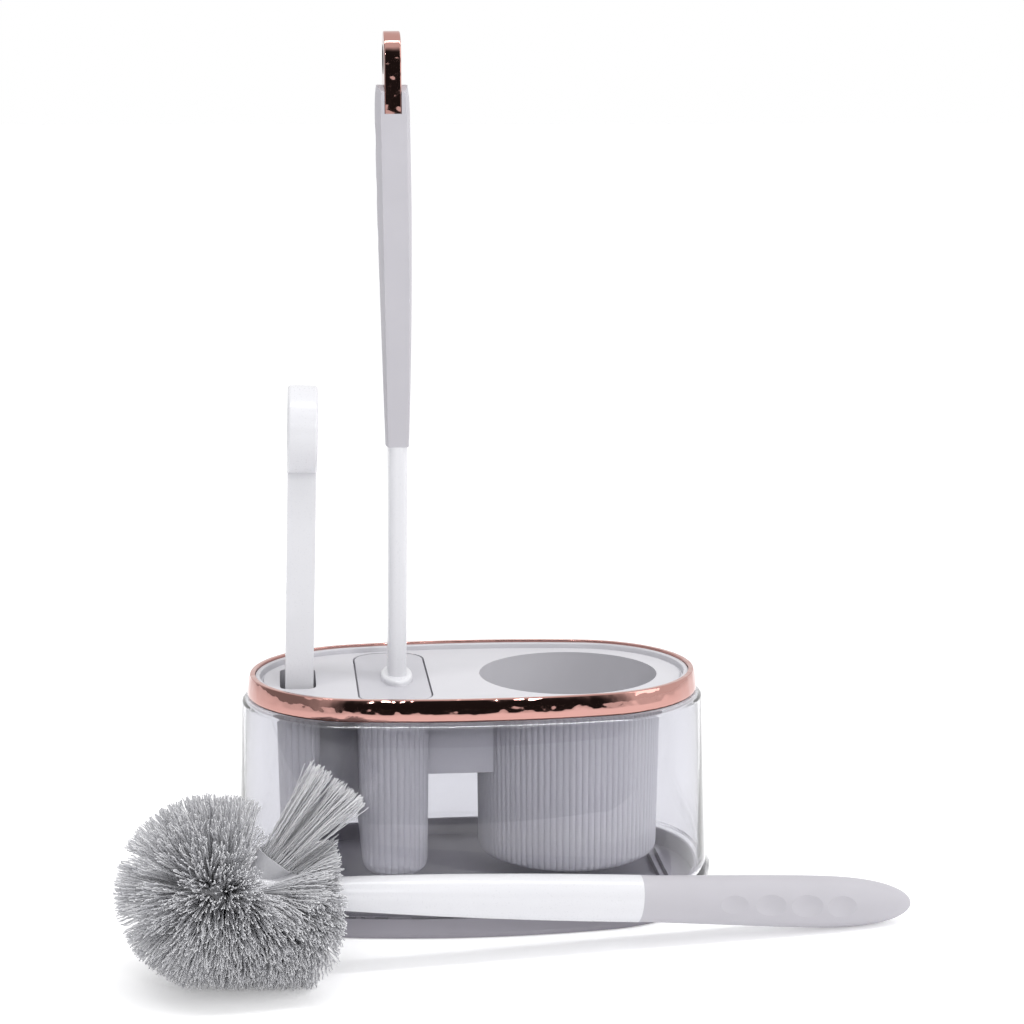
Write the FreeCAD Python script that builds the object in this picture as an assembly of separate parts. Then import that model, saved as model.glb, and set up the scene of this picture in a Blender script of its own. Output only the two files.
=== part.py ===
"""Bathroom brush caddy: a clear oval holder with a lift-out tray and the three brushes that stand in it.

Millimetres. +Z is up, +X runs along the oval towards the round well and +Y to the rear.
The origin is the centre of the holder's foot plane.
"""
import FreeCAD, Part
import math
import os

V = FreeCAD.Vector
UP = V(0, 0, 1)

# ---- driving dimensions ------------------------------------------------------------------------
# Oval outline of the plated trim ring: every other oval is an exact offset of it.
RING_LENGTH = 223.0
RING_WIDTH = 129.0
RING_END_RADIUS = 60.5
RING_TOP = 115.0
RING_BOTTOM = 104.3
RING_LIP = 4.0
RING_WALL = 2.0

# Base tray and clear shell, as distances outwards from the ring's outer edge.
BASE_HEIGHT = 10.4
BASE_OUT = 6.6
FLOOR_TOP = 6.5
FLOOR_THICKNESS = 2.5
UPSTAND_OUT = 2.6
UPSTAND_TOP = 15.6
SHELL_WALL = 2.4
SHELL_TOP = 104.0
SHELL_TOP_OUT = 2.4
SHELL_FOOT_OUT = 5.6
SHELL_BEAD_OUT = 8.0
PAD_RADIUS = 7.0
PAD_THICKNESS = 1.2
PAD_X = 78.0
PAD_Y = 34.0

# Lift-out tray.
DECK_TOP = 111.6
DECK_THICKNESS = 2.5
LIP_TOP = 113.9
DECK_UNDER = DECK_TOP - DECK_THICKNESS
WALL = 1.05
FLUTE_DEPTH = 0.8
ROUND_X = 47.5
ROUND_CREST_RADIUS = 46.0
ROUND_BOTTOM = 21.5
ROUND_FLUTES = 90
MIDDLE_X = -41.0
MIDDLE_WIDTH = 34.2
MIDDLE_DEPTH = 100.0
MIDDLE_BOTTOM = 23.0
MIDDLE_FLUTES = 70
SLOT_X = -86.6
SLOT_WIDTH = 21.3
SLOT_DEPTH = 46.0
SLOT_BOTTOM = 27.0
SLOT_FLUTES = 36

# Flat brush, standing in the middle well.
CAP_X = -40.2
CAP_WIDTH = 34.6
CAP_DEPTH = 101.0
CAP_THICKNESS = 2.7
CAP_CORNER = 13.5
CAP_GAP = 0.8
HANDLE_Y = -3.0
COLLAR_TOP = 114.6
FLAT_GRIP_START = 228.0
FLAT_GRIP_END = 400.0
FLAT_GRIP_WIDTH = 12.0
FLAT_GRIP_CROWN = 2.3
FLAT_DIMPLE_TOP = 374.0
FLAT_DIMPLE_PITCH = 23.3
FLAT_DIMPLE_RADIUS = 20.0
LOOP_SEAT = 386.5
LOOP_HOLE_RADIUS = 7.0
LOOP_TOP = 425.0

# Slot brush, standing in the narrow well and leaning along the oval.
LEAN = math.radians(1.6)
SLOT_BRUSH_X = -86.0
SLOT_BRUSH_THICKNESS = 13.6
HAND_RING_RADIUS = 21.6
HAND_RING_HOLE = 12.5
HAND_RING_CENTRE = 235.4

# Round brush, lying in front of the holder. Its own frame has X along the brush from the centre
# of the head, Y away from the front and Z up.
HEAD_CENTRE = V(-124.0, -118.0, 43.5)
HEAD_RADIUS = 43.2
HEAD_YAW = 8.9
HEAD_TILT = 5.9
HUB_RADIUS = 9.5
HUB_START = -13.0
HUB_END = 47.5
SHAFT_START = 49.0
GRIP_START = 198.0
GRIP_END = 337.0
GRIP_HALF_WIDTH = 9.0
GRIP_HALF_HEIGHT = 11.2
DIMPLE_PITCH = 18.5
DIMPLE_DEPTH = 1.4


# ---- outlines ------------------------------------------------------------------------------------
def rounded_wire(corners):
    """Closed wire in the XY plane through corners (x, y, radius), each rounded by its radius."""
    edges = []
    ends = []
    count = len(corners)
    for index, (x, y, radius) in enumerate(corners):
        corner = V(x, y, 0)
        before = V(*corners[index - 1][:2], 0) - corner
        after = V(*corners[(index + 1) % count][:2], 0) - corner
        if radius == 0:
            ends.append((corner, corner))
            continue
        before.normalize()
        after.normalize()
        half_angle = before.getAngle(after) / 2
        reach = radius / math.tan(half_angle)
        middle = (before + after).normalize() * (radius / math.sin(half_angle) - radius)
        start = corner + before * reach
        end = corner + after * reach
        edges.append(Part.Arc(start, corner + middle, end).toShape())
        ends.append((start, end))
    for index in range(count):
        start = ends[index - 1][1]
        end = ends[index][0]
        if (end - start).Length > 1e-6:
            edges.append(Part.makeLine(start, end))
    return Part.Wire(Part.__sortEdges__(edges))


def rectangle(width, depth, radius, z=0.0, x=0.0, y=0.0):
    """Rounded rectangle in plan, centred on x and y, at height z."""
    a = width / 2
    b = depth / 2
    wire = rounded_wire([(-a, -b, radius), (a, -b, radius), (a, b, radius), (-a, b, radius)])
    wire.translate(V(x, y, z))
    return wire


def stood_up(wire):
    """Turn a wire from the XY plane into the XZ plane, so that its y becomes z."""
    wire.rotate(V(0, 0, 0), V(1, 0, 0), 90)
    return wire


def block(wire, height):
    """Straight extrusion of a plan outline upwards."""
    return Part.Face(wire).extrude(V(0, 0, height))


def box(x_low, x_high, y_low, y_high, z_low, z_high):
    """Box between six limits."""
    return Part.makeBox(x_high - x_low, y_high - y_low, z_high - z_low, V(x_low, y_low, z_low))


def oval_arcs():
    """Centre, radius, start angle and sweep of the four arcs of the ring's outer edge."""
    a = RING_LENGTH / 2
    b = RING_WIDTH / 2
    end_radius = RING_END_RADIUS
    side_radius = (a * a + b * b - 2 * a * end_radius) / (2 * (b - end_radius))
    reach = a - end_radius
    drop = side_radius - b
    half = math.degrees(math.atan2(reach, drop))
    return [
        (V(reach, 0, 0), end_radius, half - 90, 180 - 2 * half),
        (V(0, -drop, 0), side_radius, 90 - half, 2 * half),
        (V(-reach, 0, 0), end_radius, 90 + half, 180 - 2 * half),
        (V(0, drop, 0), side_radius, 270 - half, 2 * half),
    ]


def oval_wire(out, z):
    """Oval offset outwards by out from the ring's outer edge, at height z."""
    edges = []
    for centre, radius, start, sweep in oval_arcs():
        centre = centre + V(0, 0, z)
        edges.append(Part.makeCircle(radius + out, centre, UP, start, start + sweep))
    return Part.Wire(edges)


def oval_band(corners):
    """Ring with the section (out, z, radius) carried exactly round the oval."""
    segments = []
    for centre, radius, start, sweep in oval_arcs():
        section = Part.Face(stood_up(rounded_wire(corners)))
        section.translate(V(radius, 0, 0))
        segment = section.revolve(V(0, 0, 0), UP, sweep)
        segment.rotate(V(0, 0, 0), UP, start)
        segment.translate(centre)
        segments.append(segment)
    return segments[0].multiFuse(segments[1:]).removeSplitter()


def fluted(outline, count):
    """Outline remade as a closed run of outward scallops, their crests on the outline."""
    points = outline.discretize(Number=count + 1)[:-1]
    middle = outline.BoundBox.Center
    valleys = []
    for index, point in enumerate(points):
        along = points[(index + 1) % count] - points[index - 1]
        outwards = along.cross(UP).normalize()
        if outwards.dot(point - middle) < 0:
            outwards = outwards * -1
        valleys.append(point - outwards * FLUTE_DEPTH)
    scallops = []
    for index, start in enumerate(valleys):
        crest = (points[index] + points[(index + 1) % count]) / 2
        scallops.append(Part.Arc(start, crest, valleys[(index + 1) % count]).toShape())
    return Part.Wire(scallops)


# ---- holder --------------------------------------------------------------------------------------
def base_tray():
    """Grey tray that everything stands on: rim, floor, upstand inside the shell and floor ribs."""
    underside = FLOOR_TOP - FLOOR_THICKNESS
    rim = oval_band([
        (2.0, 0, 0.3), (5.0, 0, 1.0), (BASE_OUT - 0.2, 2.8, 2.0), (BASE_OUT, BASE_HEIGHT, 0.6),
        (UPSTAND_OUT - 1.8, BASE_HEIGHT, 0), (UPSTAND_OUT - 1.8, underside, 0), (2.0, underside, 0),
    ])
    upstand = oval_band([
        (UPSTAND_OUT - 1.8, BASE_HEIGHT - 1, 0), (UPSTAND_OUT, BASE_HEIGHT - 1, 0),
        (UPSTAND_OUT, UPSTAND_TOP, 0.6), (UPSTAND_OUT - 1.8, UPSTAND_TOP, 0.6),
    ])
    floor = block(oval_wire(3.0, underside), FLOOR_THICKNESS)
    tray = floor.multiFuse([rim, upstand])
    for side in (-1, 1):
        for offset in (-3.2, 1.2):
            rib = box(side * 95 + offset, side * 95 + offset + 2, -22, 22, FLOOR_TOP - 0.5, FLOOR_TOP + 4)
            tray = tray.fuse(rib)
    for x, y in pad_places():
        boss = Part.makeCylinder(PAD_RADIUS + 1, underside - PAD_THICKNESS + 0.2, V(x, y, PAD_THICKNESS))
        tray = tray.fuse(boss)
    return tray.removeSplitter()


def pad_places():
    """Plan positions of the four pads."""
    return [(x, y) for x in (-PAD_X, PAD_X) for y in (-PAD_Y, PAD_Y)]


def anti_slip_pads():
    """Four soft pads under the tray, level with its foot."""
    return Part.Compound([Part.makeCylinder(PAD_RADIUS, PAD_THICKNESS, V(x, y, 0)) for x, y in pad_places()])


def clear_shell():
    """Clear wall with a foot bead and a rounded shoulder that stands proud of the ring."""
    return oval_band([
        (SHELL_FOOT_OUT - SHELL_WALL, BASE_HEIGHT, 0), (SHELL_BEAD_OUT, BASE_HEIGHT, 0.8),
        (SHELL_BEAD_OUT, 15.2, 1.8), (SHELL_FOOT_OUT, 17.2, 1.6),
        (SHELL_TOP_OUT, SHELL_TOP, 2.4), (-RING_WALL - 0.2, SHELL_TOP, 0.4),
        (-RING_WALL - 0.2, SHELL_TOP - SHELL_WALL, 0.4),
        (SHELL_TOP_OUT - SHELL_WALL, SHELL_TOP - SHELL_WALL, 1.0),
    ])


def trim_ring():
    """Plated ring: an outer wall with a narrow bevel and a flat lip turned in over the tray's rim."""
    return oval_band([
        (-RING_WALL, RING_BOTTOM, 0), (-0.5, RING_BOTTOM, 0), (0, RING_BOTTOM + 0.5, 0.3),
        (0, RING_TOP - 1.6, 0.4), (-1.0, RING_TOP, 0.5), (-RING_LIP, RING_TOP, 0.4),
        (-RING_LIP, RING_TOP - 2, 0), (-RING_WALL, RING_TOP - 2, 0),
    ])


def deck():
    """Top of the lift-out tray: skirt under the ring, raised lip, drained groove and flat deck."""
    rim = oval_band([
        (-9, DECK_UNDER, 0), (-RING_LIP, DECK_UNDER, 0), (-RING_LIP, RING_BOTTOM - 0.8, 0),
        (-2.6, RING_BOTTOM - 0.8, 0.3), (-2.6, RING_BOTTOM + 0.5, 0), (-RING_WALL, RING_BOTTOM + 0.5, 0),
        (-RING_WALL, RING_TOP - 2, 0), (-RING_LIP - 0.1, RING_TOP - 2, 0),
        (-RING_LIP - 0.1, LIP_TOP, 0.4), (-6.4, LIP_TOP, 0.8), (-6.9, DECK_TOP - 0.8, 0.4), (-7.8, DECK_TOP - 0.8, 0.3),
        (-8.2, DECK_TOP, 0.2), (-9, DECK_TOP, 0),
    ])
    plate = block(oval_wire(-8.9, DECK_UNDER), DECK_THICKNESS)
    return plate.fuse(rim)


def round_outline(inset):
    """Plan outline of the round well."""
    circle = Part.Wire(Part.makeCircle(ROUND_CREST_RADIUS - inset))
    circle.translate(V(ROUND_X, 0, 0))
    return circle


def middle_outline(inset):
    """Plan outline of the middle well: straight sides and half-round ends."""
    width = MIDDLE_WIDTH - 2 * inset
    return rectangle(width, MIDDLE_DEPTH - 2 * inset, width / 2 - 0.5, x=MIDDLE_X)


def slot_outline(inset):
    """Plan outline of the narrow well."""
    width = SLOT_WIDTH - 2 * inset
    return rectangle(width, SLOT_DEPTH - 2 * inset, width / 2 - 3.3, x=SLOT_X)


def cap_outline(out, z):
    """Plan outline of the flat brush's cap, offset outwards by out, at height z."""
    return rectangle(CAP_WIDTH + 2 * out, CAP_DEPTH + 2 * out, CAP_CORNER + out, z, CAP_X)


def at_height(wire, z):
    """Wire raised to height z."""
    wire.translate(V(0, 0, z))
    return wire


def well(outline, flutes, bottom, draft, edge):
    """Fluted outside and smooth cavity of one well: straight draft, then a rounded bottom edge."""
    stations = [(0.0, DECK_UNDER + 0.5)]
    for step in range(4):
        turn = math.radians(90 * step / 3)
        stations.append((draft + edge * (1 - math.cos(turn)), bottom + edge * (1 - math.sin(turn))))
    wires = [at_height(fluted(outline(inset), flutes), z) for inset, z in stations]
    outside = Part.makeLoft(wires, True, True)
    skin = FLUTE_DEPTH + WALL
    cavity_stations = [(skin, DECK_TOP + 5), (skin, DECK_UNDER), (skin + draft, bottom + edge + WALL)]
    cavity_stations.append((skin + draft + 0.8 * edge, bottom + WALL))
    cavity = Part.makeLoft([at_height(outline(inset), z) for inset, z in cavity_stations], True, True)
    return outside, cavity


def insert_tray():
    """One moulding: deck, three fluted wells, a recess for the flat brush's cap and two webs."""
    wells = [
        well(round_outline, ROUND_FLUTES, ROUND_BOTTOM, 1.2, 3.0),
        well(middle_outline, MIDDLE_FLUTES, MIDDLE_BOTTOM, 1.2, 5.0),
        well(slot_outline, SLOT_FLUTES, SLOT_BOTTOM, 1.0, 4.0),
    ]
    pocket_depth = CAP_THICKNESS + 0.3
    pocket_floor = DECK_TOP - pocket_depth
    pocket = block(cap_outline(CAP_GAP, pocket_floor), 20)
    pocket_wall = block(cap_outline(3, pocket_floor - 2), pocket_depth + 1.5)
    rear_web = box(-27, 8, 23, 25, 68, DECK_UNDER + 0.5)
    front_web = box(-27, 8, -25, -23, 68, DECK_UNDER + 0.5)
    narrow_web = box(-79, -53, 6.3, 8.3, 40, DECK_UNDER + 0.5)
    solids = [outside for outside, cavity in wells] + [pocket_wall, rear_web, front_web, narrow_web]
    tray = deck().multiFuse(solids)
    for cutter in [cavity for outside, cavity in wells] + [pocket]:
        tray = tray.cut(cutter)
    return tray.removeSplitter()


# ---- flat brush ----------------------------------------------------------------------------------
def flat_centre(z):
    """Sideways position of the flat brush's bowed handle at height z."""
    bow = math.sin(math.pi * min(max((z - DECK_TOP) / 290, 0), 1))
    return -38.0 + 1.3 * bow


def flat_brush_cap():
    """Cap that closes the middle well, level with the deck."""
    plate = block(cap_outline(0, DECK_TOP - CAP_THICKNESS), CAP_THICKNESS)
    rim = [edge for edge in plate.Edges if edge.BoundBox.ZMin > DECK_TOP - 0.01]
    plate = plate.makeFillet(0.5, rim)
    plug = block(rectangle(26, 88, 10, DECK_UNDER - 5, MIDDLE_X), 6)
    plug = plug.cut(block(rectangle(22, 84, 8, DECK_UNDER - 6, MIDDLE_X), 5.5))
    socket = block(rectangle(13, 26, 3, DECK_UNDER - 5, flat_centre(105), HANDLE_Y), 6)
    hole = block(rectangle(7, 14, 2, 90, flat_centre(105), HANDLE_Y), 40)
    return plate.multiFuse([plug, socket]).cut(hole).removeSplitter()


def flat_brush_core():
    """Stiff blade inside the soft head, with a neck up to the cap."""
    x = flat_centre(105)
    blade = block(rectangle(5, 66, 2, 38, MIDDLE_X), 54)
    neck = block(rectangle(12, 24, 3, 88, x, HANDLE_Y), DECK_UNDER - 5 - 88)
    hole = block(rectangle(7, 14, 2, 92, x, HANDLE_Y), 40)
    return blade.fuse(neck).cut(hole).removeSplitter()


def flat_brush_head():
    """Soft overmoulded pad with rows of tapered fingers on both broad faces."""
    body = block(rectangle(9.5, 74, 4, 34, MIDDLE_X), 60)
    fingers = []
    for side in (-1, 1):
        for row in range(6):
            for column in range(8):
                root = V(MIDDLE_X + side * 4, -32.2 + 9.2 * column, 40 + 9.4 * row)
                fingers.append(Part.makeCone(1.9, 1.0, 7.0, root, V(side, 0, 0)))
    core = block(rectangle(5, 66, 2, 38, MIDDLE_X), 60)
    neck = block(rectangle(12, 24, 3, 88, flat_centre(105), HANDLE_Y), 20)
    return body.multiFuse(fingers).cut(core).cut(neck).removeSplitter()


def flat_brush_shaft():
    """White stem with the foot that sits on the cap, a spigot below and a tongue inside the grip."""
    stem_length = FLAT_GRIP_START - COLLAR_TOP + 1.5
    wires = []
    for step in range(7):
        z = FLAT_GRIP_START - stem_length * (1 - step / 6)
        depth = 17 + 3 * (2 * step / 6 - 1) ** 2
        wires.append(rectangle(9.0, depth, 3.6, z, flat_centre(z), HANDLE_Y))
    stem = Part.makeLoft(wires, True, False)
    foot = Part.Ellipse(V(0, 0, 0), 18.5, 7.8).toShape()
    foot.rotate(V(0, 0, 0), UP, 90)
    foot.translate(V(flat_centre(DECK_TOP), HANDLE_Y, DECK_TOP))
    collar = block(Part.Wire(foot), COLLAR_TOP - DECK_TOP)
    rim = [edge for edge in collar.Edges if edge.BoundBox.ZMin > COLLAR_TOP - 0.01]
    collar = collar.makeFillet(1.6, rim)
    spigot = block(rectangle(6.8, 13.8, 2, 92.2, flat_centre(105), HANDLE_Y), 21)
    tongue_x = flat_centre(250)
    tongue = block(rectangle(4.0, 10, 1.5, FLAT_GRIP_START - 1, tongue_x, HANDLE_Y), 46)
    return stem.multiFuse([collar, spigot, tongue]).removeSplitter()


def crowned(z):
    """Flat brush's grip at height z: two flat narrow faces and two crowned broad faces."""
    swell = 1 - min((z - FLAT_GRIP_START) / 120, 1)
    closing = max(z - LOOP_SEAT, 0) / 15
    width = FLAT_GRIP_WIDTH - 2.6 * swell ** 2 - 2.4 * closing ** 2
    depth = 26.8 - 6.8 * swell ** 2
    crown = FLAT_GRIP_CROWN - 1.3 * swell
    x = flat_centre(z)
    a = width / 2
    b = depth / 2
    corners = [V(x - a, HANDLE_Y - b, z), V(x + a, HANDLE_Y - b, z), V(x + a, HANDLE_Y + b, z),
               V(x - a, HANDLE_Y + b, z)]
    front = Part.makeLine(corners[0], corners[1])
    right = Part.Arc(corners[1], V(x + a + crown, HANDLE_Y, z), corners[2]).toShape()
    rear = Part.makeLine(corners[2], corners[3])
    left = Part.Arc(corners[3], V(x - a - crown, HANDLE_Y, z), corners[0]).toShape()
    return Part.Wire([front, right, rear, left])


def loop_slab(thickness, z_low):
    """Vertical slab with a round top, as wide as the grip is deep, before its hole is made."""
    radius = 12.6
    wire = rounded_wire([(-13.2, z_low, 0), (13.2, z_low, 0), (radius, LOOP_TOP, radius - 0.05),
                         (-radius, LOOP_TOP, radius - 0.05)])
    face = Part.Face(stood_up(wire))
    face.rotate(V(0, 0, 0), UP, 90)
    face.translate(V(flat_centre(405) - thickness / 2, HANDLE_Y, 0))
    return face.extrude(V(thickness, 0, 0))


def hanging_loop():
    """Plated hanging loop let into the grip's narrow edges, with a tang below."""
    x = flat_centre(405)
    slab = loop_slab(8.0, LOOP_SEAT)
    slab = slab.makeFillet(0.7, [edge for edge in slab.Edges if edge.BoundBox.ZMin > LOOP_SEAT + 0.5])
    hole = Part.makeCylinder(LOOP_HOLE_RADIUS, 20, V(x - 10, HANDLE_Y, LOOP_TOP - 13.2), V(1, 0, 0))
    tang = block(rectangle(4, 14, 1, LOOP_SEAT - 14, x, HANDLE_Y), 15)
    return slab.cut(hole).fuse(tang).removeSplitter()


def flat_brush_grip():
    """Soft grip: crowned broad faces, four thumb dimples on the left one and arched cheeks on top."""
    sections = [crowned(FLAT_GRIP_START + 14.4 * step) for step in range(13)]
    grip = Part.makeLoft(sections, True, False)
    arch = Part.makeCylinder(26, 60, V(flat_centre(405) - 30, HANDLE_Y, FLAT_GRIP_END - 26), V(1, 0, 0))
    keep = arch.fuse(box(-70, -10, -40, 40, FLAT_GRIP_START - 1, FLAT_GRIP_END - 26))
    grip = grip.common(keep)
    x = flat_centre(405)
    grip = grip.cut(box(x - 4.05, x + 4.05, -40, 40, LOOP_SEAT, FLAT_GRIP_END + 5))
    grip = grip.cut(block(rectangle(4.1, 14.1, 1, LOOP_SEAT - 14.1, x, HANDLE_Y), 20))
    grip = grip.cut(block(rectangle(4.1, 10.1, 1.5, FLAT_GRIP_START - 2, flat_centre(250), HANDLE_Y), 47.5))
    for index in range(4):
        z = FLAT_DIMPLE_TOP - FLAT_DIMPLE_PITCH * index
        face_x = flat_centre(z) - FLAT_GRIP_WIDTH / 2 - FLAT_GRIP_CROWN
        centre = V(face_x + DIMPLE_DEPTH - FLAT_DIMPLE_RADIUS, HANDLE_Y, z)
        grip = grip.cut(Part.makeSphere(FLAT_DIMPLE_RADIUS, centre))
    return grip


# ---- slot brush ----------------------------------------------------------------------------------
def leaned(shape):
    """Place a part drawn upright about x = 0 onto the slot brush's leaning axis."""
    shape.rotate(V(0, 0, DECK_TOP), V(0, 1, 0), math.degrees(LEAN))
    shape.translate(V(SLOT_BRUSH_X, 0, 0))
    return shape


def slot_brush_handle():
    """White handle: flat stem with a finger ring on top and a narrow brush block at the bottom."""
    half = SLOT_BRUSH_THICKNESS / 2
    stem = stood_up(rounded_wire([(-16.5, 88, 4), (16.5, 88, 4), (16, 150, 40), (9, 222, 14), (-9, 222, 14),
                                  (-16, 150, 40)]))
    stem = Part.Face(stem)
    stem.rotate(V(0, 0, 0), UP, 90)
    stem.translate(V(-half, 0, 0))
    stem = stem.extrude(V(2 * half, 0, 0))
    centre = V(-half - 0.4, 0, HAND_RING_CENTRE)
    ring = Part.makeCylinder(HAND_RING_RADIUS, 2 * half + 0.8, centre, V(1, 0, 0))
    hole = Part.makeCylinder(HAND_RING_HOLE, 40, centre - V(10, 0, 0), V(1, 0, 0))
    ring = ring.makeFillet(1.5, [edge for edge in ring.Edges if edge.Length > 100])
    neck = block(rectangle(9.0, 22, 3, 52), 40)
    head = block(rectangle(9.4, 29, 3, 46), 10)
    handle = stem.multiFuse([ring, neck, head]).cut(hole)
    for x, y in slot_tufts():
        handle = handle.cut(Part.makeCylinder(1.5, 5, V(x, y, 46)))
    return leaned(handle.removeSplitter())


def slot_tufts():
    """Tuft positions in the slot brush's block."""
    return [(x, y) for x in (-2.5, 2.5) for y in (-11, -5.5, 0, 5.5, 11)]


def slot_brush_staples():
    """Wire anchors that hold the tufts in the slot brush's block."""
    anchors = [box(x - 1.1, x + 1.1, y - 0.25, y + 0.25, 48.8, 50.8) for x, y in slot_tufts()]
    return leaned(Part.Compound(anchors))


def slot_brush_bristles():
    """Tufts of the slot brush, as one block that spreads slightly downwards."""
    return leaned(Part.makeLoft([rectangle(8.5, 26, 3, 45.9), rectangle(9.6, 30, 4, 34)], True, True))


# ---- round brush ---------------------------------------------------------------------------------
def lying(shape):
    """Place a part drawn in the round brush's own frame where the brush lies."""
    shape.rotate(V(0, 0, 0), V(0, 1, 0), HEAD_TILT)
    shape.rotate(V(0, 0, 0), UP, HEAD_YAW)
    shape.translate(HEAD_CENTRE)
    return shape


def ellipse(x, half_width, half_height):
    """Upright elliptical section across the round brush at distance x along it."""
    wire = Part.Wire(Part.Ellipse(V(0, 0, 0), half_height, half_width).toShape())
    wire.rotate(V(0, 0, 0), V(0, 1, 0), 90)
    wire.translate(V(x, 0, 0))
    return wire


def turned(corners):
    """Solid of revolution about the brush's axis from an outline (x, radius, rounding)."""
    face = Part.Face(stood_up(rounded_wire(corners)))
    return face.revolve(V(0, 0, 0), V(1, 0, 0), 360)


def hub_tufts():
    """Places and directions of the tufts: rings along the hub, then fans on its domed end."""
    tufts = []
    for ring in range(7):
        x = -6.0 + 8.0 * ring
        for index in range(10):
            turn = math.radians(36 * index + 18 * (ring % 2))
            normal = V(0, math.cos(turn), math.sin(turn))
            in_cup = 0 < x < 34 and normal.z > 0.55
            if not in_cup:
                tufts.append((V(x, 0, 0) + normal * HUB_RADIUS, normal))
    for index in range(6):
        turn = math.radians(60 * index)
        normal = V(-1, 0.8 * math.cos(turn), 0.8 * math.sin(turn)).normalize()
        tufts.append((V(-5, 0, 0) + normal * 8.6, normal))
    return tufts


def rim_cup_frame(shape):
    """Turn a part drawn upright about the hub's axis onto the under-rim tuft's slanted axis."""
    shape.rotate(V(0, 0, 0), V(0, 1, 0), 34)
    shape.translate(V(13.0, 0, 0))
    return shape


def round_brush_hub():
    """Moulded core of the round head: domed end, tuft holes, collar and the slanted rim cup."""
    core = turned([(HUB_START, 0, 0), (HUB_START, HUB_RADIUS, 8), (HUB_END - 2.5, HUB_RADIUS, 0),
                   (HUB_END - 2.5, 13, 0.8), (HUB_END, 13, 0.8), (HUB_END, 0, 0)])
    cup = Part.makeLoft([rectangle(8, 8, 3.5, 4), rectangle(19.6, 15, 6.5, 19)], True, True)
    cavity = Part.makeLoft([rectangle(12, 9, 2, 11.5), rectangle(16.2, 11.6, 3, 19.5)], True, True)
    core = core.fuse(rim_cup_frame(cup)).cut(rim_cup_frame(cavity))
    core = core.cut(Part.makeCylinder(5.02, 30, V(HUB_END - 24, 0, 0), V(1, 0, 0)))
    holes = [Part.makeCylinder(1.4, 5, point + normal, normal * -1) for point, normal in hub_tufts()]
    return lying(core.cut(Part.Compound(holes)).removeSplitter())


def tuft_staples():
    """Wire anchors at the bottom of the hub's tuft holes."""
    anchors = []
    for point, normal in hub_tufts():
        anchor = box(-1.0, 1.0, -0.25, 0.25, -3.6, -2.0)
        anchor.Placement = FreeCAD.Placement(point, FreeCAD.Rotation(UP, normal))
        anchors.append(anchor)
    return lying(Part.Compound(anchors))


def round_brush_bristles():
    """Bristle head as one closed solid round the hub, open where the slanted cup comes out."""
    head = turned([(-4 - HEAD_RADIUS, HUB_RADIUS - 8, 0), (-4 - HEAD_RADIUS, HEAD_RADIUS, 38),
                   (6, HEAD_RADIUS, 20), (44, 38.6, 6), (44, HUB_RADIUS + 0.1, 0),
                   (HUB_START - 0.1, HUB_RADIUS + 0.1, 0), (HUB_START - 0.1, HUB_RADIUS - 8, 0)])
    opening = Part.makeLoft([rectangle(12, 10, 2, 0), rectangle(46, 40, 6, 70)], True, True)
    head = head.cut(rim_cup_frame(opening))
    head = head.cut(box(4, 60, -60, 60, 16, 60))
    head = lying(head)
    return head.common(box(-300, 200, -300, 100, 0.3, 200))


def rim_brush_bristles():
    """Straight fan of bristles in the slanted cup, for under the rim."""
    sections = [rectangle(12, 9, 2, 12), rectangle(15.8, 11.2, 3, 19), rectangle(30, 18, 4, 66)]
    return lying(rim_cup_frame(Part.makeLoft(sections, True, True)))


def round_brush_shaft():
    """White tapering shaft with spigots into the hub and the grip."""
    wires = []
    for step in range(7):
        along = step / 6
        swell = (1 - along) ** 2.2
        x = SHAFT_START + (GRIP_START - SHAFT_START) * along
        wires.append(ellipse(x, GRIP_HALF_WIDTH - 2.4 * swell, GRIP_HALF_HEIGHT - 3.8 * swell))
    shaft = Part.makeLoft(wires, True, False)
    front_spigot = Part.makeCylinder(5, SHAFT_START - HUB_END + 23.5, V(HUB_END - 23, 0, 0), V(1, 0, 0))
    rear_spigot = Part.makeCylinder(4.5, 80, V(GRIP_START - 0.5, 0, 0), V(1, 0, 0))
    collar = Part.makeCylinder(7.2, SHAFT_START - HUB_END + 0.4, V(HUB_END, 0, 0), V(1, 0, 0))
    return lying(shaft.multiFuse([front_spigot, rear_spigot, collar]).removeSplitter())


def round_brush_grip():
    """Soft grip with a rounded end and four thumb dimples on the broad front face."""
    sections = []
    for step in range(13):
        x = GRIP_START + (GRIP_END - GRIP_START) * math.sin(math.radians(89 * step / 12))
        swell = 1 + 0.12 * math.sin(math.radians(90 * min((x - GRIP_START) / 87, 1))) ** 2
        closing = max(x - GRIP_START - 87, 0) / (GRIP_END - GRIP_START - 87)
        size = swell * math.sqrt(1 - closing ** 2.5)
        sections.append(ellipse(x, GRIP_HALF_WIDTH * size, GRIP_HALF_HEIGHT * size))
    grip = Part.makeLoft(sections, True, False)
    grip = grip.cut(Part.makeCylinder(4.52, 82, V(GRIP_START - 1, 0, 0), V(1, 0, 0)))
    for index in range(4):
        x = 242.4 + DIMPLE_PITCH * index
        radius = 20.0
        dimple = Part.makeSphere(radius, V(x, DIMPLE_DEPTH - 1.08 * GRIP_HALF_WIDTH - radius, 1.5))
        grip = grip.cut(dimple)
    return lying(grip)


NODES = [
    base_tray, anti_slip_pads, clear_shell, trim_ring, insert_tray,
    flat_brush_cap, flat_brush_core, flat_brush_head, flat_brush_shaft, flat_brush_grip, hanging_loop,
    slot_brush_handle, slot_brush_staples, slot_brush_bristles,
    round_brush_hub, tuft_staples, round_brush_bristles, rim_brush_bristles, round_brush_shaft,
    round_brush_grip,
]

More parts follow.
